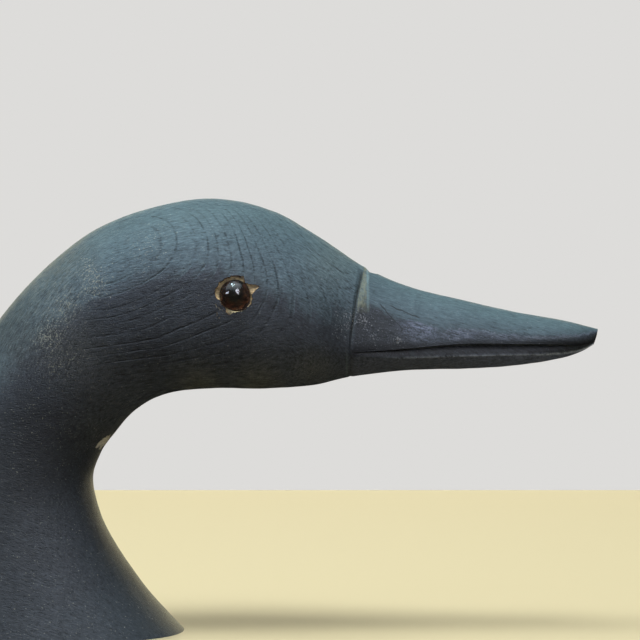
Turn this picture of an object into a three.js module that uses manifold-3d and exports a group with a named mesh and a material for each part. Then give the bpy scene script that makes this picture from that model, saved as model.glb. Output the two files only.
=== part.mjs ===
import * as THREE from 'three';
import Module from 'manifold-3d';

// A swan decoy's head: head, bill and neck carved from one block of wood, with a glass eye
// let into each cheek. Millimetres, +Z up, +X towards the bill's tip, +Y the bird's left.
// The origin is the middle of the flat sawn underside of the neck.

// Stations along the carving, from the sawn underside over the head to the bill's tip.
// upper and lower are the ends of a section line on the nape side and on the throat side.
// half is the half width there, and widest is how far down the line that width lies, from 0 to 1.
// crown and jaw are the powers of the curve above and below it: 2 is an ellipse, more is squarer.
// bow is how far the section bends forward of its line, halfway down.
// lip and ridge are how far down the mouth's two edges run, and cut is how deep the mouth is.
const STATIONS = [
  // upper x, z    lower x, z    half  widest crown jaw   bow   lip    ridge  cut
  [-54.0, 0.0, 54.8, 0.0, 40.0, 0.5, 2.2, 2.2, 0, 0.72, 0.8, 0],
  [-52.4, 20.0, 38.6, 18.4, 33.5, 0.5, 2.1, 2.1, 0, 0.72, 0.8, 0],
  [-50.0, 42.0, 24.4, 40.0, 29.0, 0.5, 2.1, 2.1, 0, 0.72, 0.8, 0],
  [-46.4, 67.2, 18.5, 58.7, 27.0, 0.5, 2.1, 2.1, 0, 0.72, 0.8, 0],
  [-37.6, 94.4, 21.5, 70.6, 26.4, 0.5, 2.1, 2.1, 0, 0.72, 0.8, 0],
  [-22.2, 120.2, 27.6, 79.5, 26.9, 0.49, 2.0, 2.2, 0, 0.72, 0.8, 0],
  [-3.0, 142.6, 34.3, 86.9, 28.4, 0.47, 1.9, 2.4, 0, 0.72, 0.8, 0],
  [18.3, 159.6, 43.4, 92.8, 30.2, 0.45, 1.85, 2.7, 0, 0.72, 0.8, 0],
  [42.0, 169.1, 54.9, 95.9, 31.0, 0.44, 1.8, 3.0, 0, 0.72, 0.8, 0],
  [66.8, 172.7, 70.8, 96.7, 30.6, 0.46, 1.8, 3.0, 0, 0.72, 0.8, 0],
  [90.0, 167.9, 88.4, 96.5, 28.4, 0.52, 1.8, 2.8, 0, 0.72, 0.8, 0],
  [109.2, 157.1, 106.0, 97.9, 24.0, 0.6, 1.8, 2.4, -1.0, 0.74, 0.8, 0],
  [128.4, 144.5, 120.7, 101.0, 17.8, 0.7, 1.8, 2.2, -2.6, 0.772, 0.8, 0.3],
  [146.0, 137.1, 142.0, 103.7, 15.2, 0.74, 1.8, 2.1, -1.2, 0.736, 0.843, 2.0],
  [166.8, 132.0, 164.8, 104.4, 13.9, 0.64, 1.8, 2.1, 0, 0.631, 0.809, 3.2],
  [187.6, 127.4, 186.4, 105.6, 12.5, 0.56, 1.8, 2.1, 0, 0.59, 0.79, 3.2],
  [205.2, 124.2, 204.0, 108.3, 10.2, 0.51, 1.8, 2.0, 0, 0.62, 0.856, 2.6],
  [215.2, 121.9, 213.2, 111.2, 7.2, 0.52, 1.9, 2.0, 0, 0.74, 0.93, 1.2],
  [220.4, 120.6, 218.6, 114.1, 3.0, 0.5, 2.0, 2.0, 0, 0.82, 0.95, 0.3],
];
const TIP_BULGE = 0.5;

// The groove cut round the root of the bill: a steep wall on the head's side, a slope on the bill's.
// Its lines are given in stations, and both its width and its depth shrink towards the throat.
// Beside the crown it runs further back: the sweep fades out at a share of the way down.
const GROOVE = {
  station: 12,
  headEdge: -0.05,
  bottom: 0.06,
  billEdge: 0.22,
  depthAbove: 1.1,
  depthBelow: 0.35,
  narrowed: 0.45,
  sweep: 0.13,
  sweepTop: 0.03,
  sweepEnd: 0.5,
};

// Glass eyes: a flat-backed disc with a domed front, sunk into a drilled socket in the cheek.
// The dome's rim is seated a little below the cheek's surface, which lies CHEEK from the middle.
const EYE = { x: 76.2, z: 133.6, radius: 5.95, dome: 3.5, thickness: 2.6 };
const CHEEK = 30.0;
const SEAT = CHEEK - 0.7;
const CLEARANCE = 0.3;
const SOCKET_RADIUS = EYE.radius + CLEARANCE;
const SOCKET_FLOOR = SEAT - EYE.thickness - CLEARANCE;

// Paint and wood have broken away round each socket, in a ragged ring with longer splinters.
// A splinter is its direction in degrees from the bill up to the crown, its reach and its half spread.
const CHIP_RADIUS = 7.45;
const CHIP_WALL = 0.4;
const CHIP_DEPTH = 1.3;
const CUT_CLEAR = 6;
const SPLINTERS_RIGHT = [
  [19, 3.0, 17],
  [66, 1.2, 13],
  [128, 0.5, 16],
  [172, 0.9, 16],
  [210, 1.1, 9],
  [258, 1.2, 8],
  [318, 0.3, 14],
];
const SPLINTERS_LEFT = [
  [35, 1.2, 14],
  [100, 0.8, 18],
  [190, 1.6, 12],
  [285, 1.0, 16],
];

// How finely the faceted surface is divided.
const UPPER_STEPS = 12;
const LOWER_STEPS = 8;
const EYE_SIDES = 24;
const CHIP_SIDES = 52;

const wasm = await Module();
wasm.setup();

// A smooth curve through three columns of the station table.
function columnCurve(i, j, k) {
  const points = STATIONS.map((row) => new THREE.Vector3(row[i], row[j], row[k]));
  return new THREE.CatmullRomCurve3(points, false, 'catmullrom', 0.5);
}

const curves = {
  upper: columnCurve(0, 1, 8),
  lower: columnCurve(2, 3, 8),
  width: columnCurve(4, 5, 8),
  powers: columnCurve(6, 7, 8),
  mouth: columnCurve(9, 10, 11),
};
const LAST = STATIONS.length - 1;

// Every measure of the section at a place along the carving, counted in stations.
function sectionAt(place) {
  const t = THREE.MathUtils.clamp(place / LAST, 0, 1);
  const upper = curves.upper.getPoint(t);
  const lower = curves.lower.getPoint(t);
  const width = curves.width.getPoint(t);
  const powers = curves.powers.getPoint(t);
  const mouth = curves.mouth.getPoint(t);
  return {
    upper: new THREE.Vector3(upper.x, 0, upper.y),
    lower: new THREE.Vector3(lower.x, 0, lower.y),
    half: width.x,
    widest: width.y,
    crown: powers.x,
    jaw: powers.y,
    bow: upper.z,
    lip: mouth.x,
    ridge: mouth.y,
    cut: place > GROOVE.station ? Math.max(mouth.z, 0) : 0,
  };
}

// A point of the section's side by its angle, from 90 degrees on top to -90 below: [down, out].
function sidePoint(section, angle) {
  const power = angle > 0 ? section.crown : section.jaw;
  const rise = Math.abs(Math.sin(angle)) ** (2 / power);
  const out = section.half * Math.max(Math.cos(angle), 0) ** (2 / power);
  const down = angle > 0 ? section.widest * (1 - rise) : section.widest + (1 - section.widest) * rise;
  return [down, out];
}

// The angle at which the side has come this far down.
function angleAt(section, down) {
  const above = down < section.widest;
  const rise = above ? 1 - down / section.widest : (down - section.widest) / (1 - section.widest);
  const power = above ? section.crown : section.jaw;
  return Math.asin(rise ** (power / 2)) * (above ? 1 : -1);
}

// One side of a section from top to bottom: the upper part down to the lip, the mouth's inner
// corner, and the lower part, which is tucked in a little under the lip.
const CORNER = UPPER_STEPS + 1;
const SIDE_COUNT = UPPER_STEPS + LOWER_STEPS + 3;

function girthPoint(section, index) {
  const lipAngle = angleAt(section, section.lip);
  const ridgeAngle = angleAt(section, section.ridge);
  const tuck = 1 - (0.25 * section.cut) / section.half;
  if (index < CORNER) {
    return sidePoint(section, Math.PI / 2 + (lipAngle - Math.PI / 2) * (index / UPPER_STEPS));
  }
  if (index === CORNER) {
    const down = THREE.MathUtils.lerp(section.lip, section.ridge, 0.15);
    const out = sidePoint(section, angleAt(section, down))[1];
    return [down, out - section.cut];
  }
  const step = (index - CORNER - 1) / LOWER_STEPS;
  const [down, out] = sidePoint(section, ridgeAngle + (-Math.PI / 2 - ridgeAngle) * step);
  return [down, out * tuck];
}

// The carved surface at a ring and a girth index. inset pushes it in towards the section's middle.
function surfacePoint(place, index, side, inset) {
  const section = sectionAt(place);
  const [down, out] = girthPoint(section, index);
  const line = section.lower.clone().sub(section.upper);
  const forward = new THREE.Vector3(-line.z, 0, line.x).normalize();
  const shrunkDown = 0.5 + (down - 0.5) * (1 - (2 * inset) / line.length());
  const point = section.upper.clone().addScaledVector(line, shrunkDown);
  point.addScaledVector(forward, section.bow * Math.sin(Math.PI * down));
  point.y = side * out * (1 - inset / section.half);
  return point;
}

// A closed ring of surface points. placed gives the place and the inset at each girth index.
function closedRing(placed) {
  const count = 2 * SIDE_COUNT - 2;
  return Array.from({ length: count }, (_, i) => {
    const side = i < SIDE_COUNT ? -1 : 1;
    const index = i < SIDE_COUNT ? i : count - i;
    const [place, inset] = placed(index);
    return surfacePoint(place, index, side, inset);
  });
}

function carvedRing(place) {
  return closedRing(() => [place, 0]);
}

// One of the groove's lines, by its offset from the station and its share of the depth.
function grooveRing(offset, depthShare) {
  return closedRing((index) => {
    const down = girthPoint(sectionAt(GROOVE.station), index)[0];
    const narrowing = THREE.MathUtils.lerp(1, GROOVE.narrowed, Math.min(2 * down, 1));
    const fading = Math.min(down / GROOVE.sweepTop, 1) * Math.max(1 - down / GROOVE.sweepEnd, 0);
    const depth = THREE.MathUtils.lerp(GROOVE.depthAbove, GROOVE.depthBelow, down);
    return [GROOVE.station + offset * narrowing - GROOVE.sweep * fading, depth * depthShare];
  });
}

// A closed geometry through rings of equal length, with a fan of triangles over each end.
function ringGeometry(rings, startCentre, endCentre) {
  const size = rings[0].length;
  const points = rings.flat();
  const start = points.push(startCentre) - 1;
  const end = points.push(endCentre) - 1;
  const triangles = [];
  for (let i = 0; i < size; i += 1) {
    const next = (i + 1) % size;
    for (let r = 0; r + 1 < rings.length; r += 1) {
      const a = r * size + i;
      const b = r * size + next;
      triangles.push(a, b, b + size, a, b + size, a + size);
    }
    const rim = (rings.length - 1) * size;
    triangles.push(start, next, i, end, rim + i, rim + next);
  }
  const geometry = new THREE.BufferGeometry().setFromPoints(points);
  geometry.setIndex(triangles);
  return geometry;
}

// Evenly spaced places from one station to another, without the last.
function places(from, to, count) {
  return Array.from({ length: count }, (_, i) => from + ((to - from) * i) / count);
}

function carvedBlock() {
  const neckAndHead = places(0, GROOVE.station - 0.25, 52).map((place) => carvedRing(place));
  const groove = [
    grooveRing(GROOVE.headEdge, 0),
    grooveRing(GROOVE.bottom, 1),
    grooveRing(GROOVE.billEdge, 0),
  ];
  const bill = places(GROOVE.station + 0.45, LAST - 1, 14).map((place) => carvedRing(place));
  const nail = places(LAST - 1, LAST, 4).map((place) => carvedRing(place));
  const rings = [...neckAndHead, ...groove, ...bill, ...nail, carvedRing(LAST)];
  const tip = sectionAt(LAST);
  const tipCentre = tip.upper.clone().lerp(tip.lower, 0.4);
  tipCentre.x += TIP_BULGE;
  return ringGeometry(rings, new THREE.Vector3(), tipCentre);
}

// How far the broken edge lies from the eye's middle in a direction, in degrees.
function chipReach(degrees, splinters) {
  const radians = THREE.MathUtils.degToRad(degrees);
  let reach = CHIP_RADIUS + 0.14 * Math.sin(7 * radians + 1) + 0.1 * Math.sin(13 * radians);
  for (const [direction, length, spread] of splinters) {
    const off = Math.abs(((degrees - direction + 540) % 360) - 180);
    reach += length * Math.max(0, 1 - off / spread);
  }
  return reach;
}

// What is taken out of the cheek for an eye: the ragged chip, sloping in to the drilled socket.
function socketGeometry(side, splinters) {
  const ringOf = (out, radiusAt) =>
    Array.from({ length: CHIP_SIDES }, (_, i) => {
      const degrees = (side * 360 * i) / CHIP_SIDES;
      const radians = THREE.MathUtils.degToRad(degrees);
      const radius = radiusAt((degrees + 360) % 360);
      const x = EYE.x + radius * Math.cos(radians);
      const z = EYE.z + radius * Math.sin(radians);
      return new THREE.Vector3(x, side * out, z);
    });
  const ragged = (degrees) => chipReach(degrees, splinters);
  const round = () => SOCKET_RADIUS;
  const rings = [
    ringOf(CHEEK + CUT_CLEAR, ragged),
    ringOf(CHEEK - CHIP_WALL, ragged),
    ringOf(CHEEK - CHIP_DEPTH, round),
    ringOf(SOCKET_FLOOR, round),
  ];
  const middle = (out) => new THREE.Vector3(EYE.x, side * out, EYE.z);
  return ringGeometry(rings, middle(CHEEK + CUT_CLEAR), middle(SOCKET_FLOOR));
}

function toSolid(geometry) {
  const vertProperties = new Float32Array(geometry.attributes.position.array);
  const triVerts = new Uint32Array(geometry.index.array);
  return new wasm.Manifold(new wasm.Mesh({ numProp: 3, vertProperties, triVerts }));
}

function toGeometry(solid) {
  const mesh = solid.getMesh();
  const geometry = new THREE.BufferGeometry();
  geometry.setAttribute('position', new THREE.BufferAttribute(mesh.vertProperties, 3));
  geometry.setIndex(new THREE.BufferAttribute(mesh.triVerts, 1));
  return geometry;
}

const paintedWood = new THREE.MeshStandardMaterial({ color: 0x4a5960, roughness: 0.62, metalness: 0 });
const darkGlass = new THREE.MeshStandardMaterial({ color: 0x1c120e, roughness: 0.05, metalness: 0 });

function carving() {
  const right = toSolid(socketGeometry(-1, SPLINTERS_RIGHT));
  const left = toSolid(socketGeometry(1, SPLINTERS_LEFT));
  const solid = toSolid(carvedBlock()).subtract(right).subtract(left);
  const mesh = new THREE.Mesh(toGeometry(solid), paintedWood);
  mesh.name = 'carved_head_and_neck';
  return mesh;
}

// The eye's outline is turned round its own axis: flat back, short rim, then the dome.
function glassEye(name, side) {
  const curvature = (EYE.radius ** 2 + EYE.dome ** 2) / (2 * EYE.dome);
  const spread = Math.asin(EYE.radius / curvature);
  const domeSteps = 6;
  const profile = [new THREE.Vector2(0, -EYE.thickness), new THREE.Vector2(EYE.radius, -EYE.thickness)];
  for (let i = 0; i <= domeSteps; i += 1) {
    const angle = spread * (1 - i / domeSteps);
    const height = curvature * Math.cos(angle) - (curvature - EYE.dome);
    profile.push(new THREE.Vector2(i === domeSteps ? 0 : curvature * Math.sin(angle), height));
  }
  const mesh = new THREE.Mesh(new THREE.LatheGeometry(profile, EYE_SIDES), darkGlass);
  mesh.name = name;
  mesh.rotation.x = side > 0 ? 0 : Math.PI;
  mesh.position.set(EYE.x, side * SEAT, EYE.z);
  return mesh;
}

const decoy = new THREE.Group();
decoy.add(carving(), glassEye('glass_eye_right', -1), glassEye('glass_eye_left', 1));

export default decoy;
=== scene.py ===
import math

import bpy
import numpy as np
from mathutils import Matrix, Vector


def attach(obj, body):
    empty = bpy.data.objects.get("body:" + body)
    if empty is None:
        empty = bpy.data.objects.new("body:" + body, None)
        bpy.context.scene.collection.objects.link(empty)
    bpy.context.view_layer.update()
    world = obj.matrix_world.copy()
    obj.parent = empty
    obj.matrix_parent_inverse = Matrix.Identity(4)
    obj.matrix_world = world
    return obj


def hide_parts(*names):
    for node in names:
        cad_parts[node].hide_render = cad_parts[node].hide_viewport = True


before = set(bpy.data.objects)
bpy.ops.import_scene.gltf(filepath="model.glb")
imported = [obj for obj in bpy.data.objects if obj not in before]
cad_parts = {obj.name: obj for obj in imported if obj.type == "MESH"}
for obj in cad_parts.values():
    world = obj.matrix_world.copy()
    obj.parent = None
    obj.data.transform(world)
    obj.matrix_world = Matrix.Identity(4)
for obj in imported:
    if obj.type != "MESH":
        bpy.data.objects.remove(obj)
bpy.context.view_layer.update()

# A swan decoy's head, bill and neck, carved from one block of pine, painted dark slate and worn,
# with a glass eye in each cheek. Sizes below are in millimetres unless a name says otherwise.
MM = 0.001

# Stations along the carving, from the sawn underside over the head to the bill's tip.
# upper and lower are the ends of a section line on the nape side and on the throat side.
# half is the half width there, and widest is how far down the line that width lies, from 0 to 1.
# crown and jaw are the powers of the curve above and below it: 2 is an ellipse, more is squarer.
# bow is how far the section bends forward of its line, halfway down.
# lip and ridge are how far down the mouth's two edges run, and cut is how deep the mouth is.
STATIONS = np.array([
    # upper x, z    lower x, z    half  widest crown jaw   bow   lip    ridge  cut
    [-54.0, 0.0, 54.8, 0.0, 40.0, 0.5, 2.2, 2.2, 0, 0.72, 0.8, 0],
    [-52.4, 20.0, 38.6, 18.4, 33.5, 0.5, 2.1, 2.1, 0, 0.72, 0.8, 0],
    [-50.0, 42.0, 24.4, 40.0, 29.0, 0.5, 2.1, 2.1, 0, 0.72, 0.8, 0],
    [-46.4, 67.2, 18.5, 58.7, 27.0, 0.5, 2.1, 2.1, 0, 0.72, 0.8, 0],
    [-37.6, 94.4, 21.5, 70.6, 26.4, 0.5, 2.1, 2.1, 0, 0.72, 0.8, 0],
    [-22.2, 120.2, 27.6, 79.5, 26.9, 0.49, 2.0, 2.2, 0, 0.72, 0.8, 0],
    [-3.0, 142.6, 34.3, 86.9, 28.4, 0.47, 1.9, 2.4, 0, 0.72, 0.8, 0],
    [18.3, 159.6, 43.4, 92.8, 30.2, 0.45, 1.85, 2.7, 0, 0.72, 0.8, 0],
    [42.0, 169.1, 54.9, 95.9, 31.0, 0.44, 1.8, 3.0, 0, 0.72, 0.8, 0],
    [66.8, 172.7, 70.8, 96.7, 30.6, 0.46, 1.8, 3.0, 0, 0.72, 0.8, 0],
    [90.0, 167.9, 88.4, 96.5, 28.4, 0.52, 1.8, 2.8, 0, 0.72, 0.8, 0],
    [109.2, 157.1, 106.0, 97.9, 24.0, 0.6, 1.8, 2.4, -1.0, 0.74, 0.8, 0],
    [128.4, 144.5, 120.7, 101.0, 17.8, 0.7, 1.8, 2.2, -2.6, 0.772, 0.8, 0.3],
    [146.0, 137.1, 142.0, 103.7, 15.2, 0.74, 1.8, 2.1, -1.2, 0.736, 0.843, 2.0],
    [166.8, 132.0, 164.8, 104.4, 13.9, 0.64, 1.8, 2.1, 0, 0.631, 0.809, 3.2],
    [187.6, 127.4, 186.4, 105.6, 12.5, 0.56, 1.8, 2.1, 0, 0.59, 0.79, 3.2],
    [205.2, 124.2, 204.0, 108.3, 10.2, 0.51, 1.8, 2.0, 0, 0.62, 0.856, 2.6],
    [215.2, 121.9, 213.2, 111.2, 7.2, 0.52, 1.9, 2.0, 0, 0.74, 0.93, 1.2],
    [220.4, 120.6, 218.6, 114.1, 3.0, 0.5, 2.0, 2.0, 0, 0.82, 0.95, 0.3],
])
LAST = len(STATIONS) - 1
UPPER, LOWER = slice(0, 2), slice(2, 4)
HALF, WIDEST, CROWN, JAW, BOW, LIP, RIDGE, CUT = range(4, 12)
TIP_BULGE = 0.5
# How far the lower bill lies inside the upper, as a share of the mouth's depth.
TUCK = 0.14
# The carving keeps just inside the plain solid's faceted sides.
SLIMMED = 0.9965

# The groove round the root of the bill, its lines given in stations from the twelfth.
GROOVE_AT = 12
GROOVE_HEAD_EDGE = -0.05
GROOVE_BOTTOM = 0.06
GROOVE_BILL_EDGE = 0.22
GROOVE_DEPTH_ABOVE = 1.0
GROOVE_DEPTH_BELOW = 0.3
GROOVE_NARROWED = 0.45
# Beside the crown the groove runs further back, in stations, and comes forward again down to a height.
# It is shallow where it crosses over to the crown.
GROOVE_SWEEP = 0.14
SWEEP_TOP = 0.03
SWEEP_END = 0.5
SHALLOWEST = 0.25

# How finely the carved surface is divided: points down each side, and the distance between rings.
UPPER_STEPS = 66
MOUTH_STEPS = 10
LOWER_STEPS = 36
RING_STEP = 1.0
BASE_RING_STEP = 1.6
GROOVE_RING_STEP = 0.27

EYE = Vector((76.2, 0, 133.6))
CHEEK = 30.0
EYE_RADIUS = 5.85
EYE_DOME = 3.5
EYE_SUNK = 0.7
GLASS_THICKNESS = 1.9
SOCKET_RADIUS = 6.0
SOCKET_GAP = 0.6
SOCKET_FLOOR = CHEEK - 3.6

# The broken edge round each socket: directions in degrees from the bill up to the crown, and reach.
BREAK_RIGHT = [
    (3, 6.6), (13, 8.2), (20.5, 10.3), (30, 8.5), (39, 6.9), (48, 6.5), (58, 7.1), (66, 8.3), (74, 7.7),
    (90, 7.75), (107, 7.6), (127, 7.5), (143, 7.95), (153, 7.5), (166, 8.1), (180, 7.6), (190, 7.1),
    (199, 6.3), (232, 6.2), (238, 6.6), (243, 7.6), (257, 8.0), (263, 7.1), (275, 6.75), (291, 6.75),
    (309, 7.0), (324, 7.05), (332, 7.1), (340, 6.9), (349, 7.3), (355, 6.7),
]
# The directions in which the right socket's broken edge is painted dark, as painted shadow under the paint's upper edge
SHADOW_TURNS = (73, 140)
BREAK_LEFT = [
    (10, 7.2), (35, 8.6), (52, 7.3), (80, 7.5), (100, 8.2), (125, 7.4), (150, 7.1), (178, 7.6),
    (190, 9.0), (204, 7.2), (240, 7.0), (270, 7.6), (285, 8.3), (300, 7.2), (335, 7.1),
]

# The photograph's camera looks level along +Y, and one of its pixels is 0.4 mm at the middle plane.
DISTANCE = 900
PIXEL = 0.4
PICTURE = 640
SENSOR = 36
CAMERA = Vector((109.2, -DISTANCE, 124.0))

# Small chips down to bare wood on the right side: x, z, half length, half width and tilt in degrees.
CHIPS = [
    (71.2, 130.9, 0.9, 0.3, 10), (69.0, 129.7, 0.7, 0.25, 100), (70.2, 128.5, 0.9, 0.3, -45),
    (69.4, 126.2, 0.65, 0.28, -70), (70.4, 124.9, 0.45, 0.25, 30), (73.2, 128.2, 0.8, 0.35, 80),
    (71.6, 127.7, 0.35, 0.25, 0), (122.0, 123.8, 0.5, 0.2, 80), (139.6, 115.8, 0.45, 0.25, 20),
]
# Thin lines drawn on the right side, from one place to another on the side view
SCRATCH = [(87.4, 131.5), (84.9, 127.8)]
CRACKS = [[(132.3, 131.1), (142.0, 119.6)], [(136.0, 129.9), (148.7, 124.8)]]
# The chip at the front of the throat: where it lies in the side view, and its size in the same way.
THROAT_CHIP = (22.8, 75.2, 6.5, 3.4, 10)

# Where dust and rubbing have left pale specks: x, z, spread and strength on the side view.
DUSTY = [
    (19.0, 145.0, 6.0, 0.45), (22.0, 137.0, 6.0, 0.55), (11.0, 130.0, 6.0, 0.45), (3.0, 118.0, 5.0, 0.5),
    (8.0, 124.0, 11.0, 0.25), (9.0, 108.0, 9.0, 0.35), (42.0, 152.0, 10.0, 0.3), (-6.0, 88.0, 14.0, 0.1),
    (120.0, 125.0, 4.0, 0.5), (126.0, 124.0, 3.0, 0.55), (118.0, 119.0, 4.0, 0.3), (131.0, 118.0, 5.0, 0.3),
    (139.8, 115.8, 1.6, 1.3),
]
# Where the paint's tone has changed, and where light and shade are painted: the darkest patches, on the neck's middle
# and the low cheek, are painted shade, and the olive and grey patches along the jaw and the front of the neck are
# painted light from the table and the side. Each is x, z, reach and share on the side view, with the colour it has
# taken.
TONE_LIGHT_AND_SHADE_SPOTS = [
    (14.0, 112.0, 22.0, 0.3, "#5e5d57"), (-12.0, 117.0, 26.0, 0.5, "#34342f"), (24.0, 76.0, 9.0, 0.4, "#4c4c48"),
    (8.0, 74.0, 30.0, 0.5, "#191c20"), (-4.0, 84.0, 24.0, 0.85, "#121418"), (-4.0, 62.0, 18.0, 0.75, "#121418"),
    (90.0, 106.0, 28.0, 0.3, "#494b4d"), (114.0, 146.0, 18.0, 0.3, "#6b7672"), (118.0, 121.0, 17.0, 0.65, "#1f2126"),
    (44.0, 116.0, 20.0, 0.5, "#1f2126"), (72.0, 118.0, 22.0, 0.4, "#1f2126"), (98.0, 119.0, 14.0, 0.3, "#23252b"),
    (62.0, 98.0, 15.0, 0.3, "#6a6752"), (84.0, 99.0, 14.0, 0.25, "#6a6752"), (107.0, 106.0, 12.0, 0.25, "#5c5b50"),
]
# Where the bill is scuffed pale violet, partly worn paint and partly painted sheen: x, z, spread and strength on the
# side view
SCUFFS_WITH_SHEEN = [(146.0, 121.5, 5.0, 0.9), (152.0, 120.0, 5.0, 1.0), (164.0, 118.0, 6.0, 0.8), (181.0, 117.0, 9.0, 0.4)]
# Where the teal ends and the worn violet grey along the mouth begins, on the side view.
WORN_EDGE = np.array([
    (121.8, 129.5), (129.7, 129.1), (134.9, 126.4), (140.0, 124.0), (145.5, 124.0), (152.6, 122.0),
    (158.0, 118.8), (160.5, 120.6), (168.4, 120.4), (175.5, 119.7), (179.9, 118.1), (185.8, 118.1),
    (196.4, 117.1), (203.5, 117.7), (210.6, 117.9), (215.8, 118.9), (218.5, 119.7),
])


def along(place):
    """The station table's columns at each place, on a smooth curve through its stations."""
    rows = np.vstack([2 * STATIONS[0] - STATIONS[1], STATIONS, 2 * STATIONS[-1] - STATIONS[-2]])
    first = np.clip(np.floor(place).astype(int), 0, LAST - 1)
    before, start, end, after = (rows[first + i] for i in range(4))
    w = (place - first)[..., None]
    leave = (end - before) / 2
    arrive = (after - start) / 2
    square = 3 * (end - start) - 2 * leave - arrive
    cube = 2 * (start - end) + leave + arrive
    return start + w * (leave + w * (square + w * cube))


def side_point(rows, angle):
    """How far down and out the section's side is at an angle, from a quarter turn to minus one."""
    power = np.where(angle > 0, rows[..., CROWN], rows[..., JAW])
    rise = np.abs(np.sin(angle)) ** (2 / power)
    out = rows[..., HALF] * np.maximum(np.cos(angle), 0) ** (2 / power)
    widest = rows[..., WIDEST]
    down = np.where(angle > 0, widest * (1 - rise), widest + (1 - widest) * rise)
    return down, out


def angle_at(rows, down):
    """The angle at which the section's side has come this far down."""
    widest = rows[..., WIDEST]
    above = down < widest
    rise = np.where(above, 1 - down / widest, (down - widest) / (1 - widest))
    power = np.where(above, rows[..., CROWN], rows[..., JAW])
    return np.arcsin(np.clip(rise, 0, 1) ** (power / 2)) * np.where(above, 1, -1)


def girth(rows):
    """Down and out for every step of one side, from top to bottom; the mouth is cut in on the bill."""
    rows = rows[:, None, :]
    cut = rows[..., CUT]
    lip, ridge = rows[..., LIP], rows[..., RIDGE]
    step = np.linspace(0, 1, UPPER_STEPS + 1)[None, :]
    top = side_point(rows, math.pi / 2 + (angle_at(rows, lip) - math.pi / 2) * step)
    step = np.linspace(0, 1, MOUTH_STEPS + 2)[None, 1:-1] ** 1.3
    down = lip + (ridge - lip) * step
    corner = 0.15
    inward = np.minimum(step / corner, (1 - step) / (1 - corner))
    out = side_point(rows, angle_at(rows, down))[1] - cut * inward - TUCK * cut * step
    step = np.linspace(0, 1, LOWER_STEPS + 1)[None, :]
    ridge_angle = angle_at(rows, ridge)
    low = side_point(rows, ridge_angle + (-math.pi / 2 - ridge_angle) * step)
    tuck = 1 - TUCK * cut / rows[..., HALF]
    return np.hstack([top[0], down, low[0]]), np.hstack([top[1], out, low[1] * tuck])


def sweep(down):
    """How far back the groove's line runs at a height on the side, in stations."""
    return GROOVE_SWEEP * np.maximum(1 - down / SWEEP_END, 0)


def from_groove(place, down):
    """How far ahead of the groove's line a place lies, in stations."""
    return place - GROOVE_AT + sweep(down) * np.minimum(down / SWEEP_TOP, 1)


def groove_inset(place, down):
    """How deep the groove is at a place and a height on the side, its profile and how far across it that is."""
    narrowing = 1 + (GROOVE_NARROWED - 1) * np.minimum(2 * down, 1)
    across = from_groove(place, down) / narrowing
    head_side = (across - GROOVE_HEAD_EDGE) / (GROOVE_BOTTOM - GROOVE_HEAD_EDGE)
    bill_side = (GROOVE_BILL_EDGE - across) / (GROOVE_BILL_EDGE - GROOVE_BOTTOM)
    profile = np.clip(np.minimum(head_side, bill_side), 0, 1)
    depth = GROOVE_DEPTH_ABOVE + (GROOVE_DEPTH_BELOW - GROOVE_DEPTH_ABOVE) * down
    depth = depth * np.clip(np.abs(down / SWEEP_TOP - 1), SHALLOWEST, 1)
    return depth * profile, profile, across


def ring_places():
    """Places for the rings, closer together on the head than at the base, and closest at the groove."""
    fine = np.linspace(0, LAST, 4000)
    rows = along(fine)
    middle = (rows[:, UPPER] + rows[:, LOWER]) / 2
    ends = np.maximum(np.linalg.norm(np.diff(rows[:, UPPER], axis=0), axis=1),
                      np.linalg.norm(np.diff(middle, axis=0), axis=1))
    level = middle[1:, 1]
    step = np.interp(level, [30, 80], [BASE_RING_STEP, RING_STEP])
    near_groove = (fine[1:] > GROOVE_AT - 0.1 - GROOVE_SWEEP) & (fine[1:] < GROOVE_AT + 0.3)
    step = np.where(near_groove, GROOVE_RING_STEP, step)
    travelled = np.concatenate([[0], np.cumsum(ends / step)])
    count = int(travelled[-1])
    return np.interp(np.linspace(0, travelled[-1], count), travelled, fine)


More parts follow.
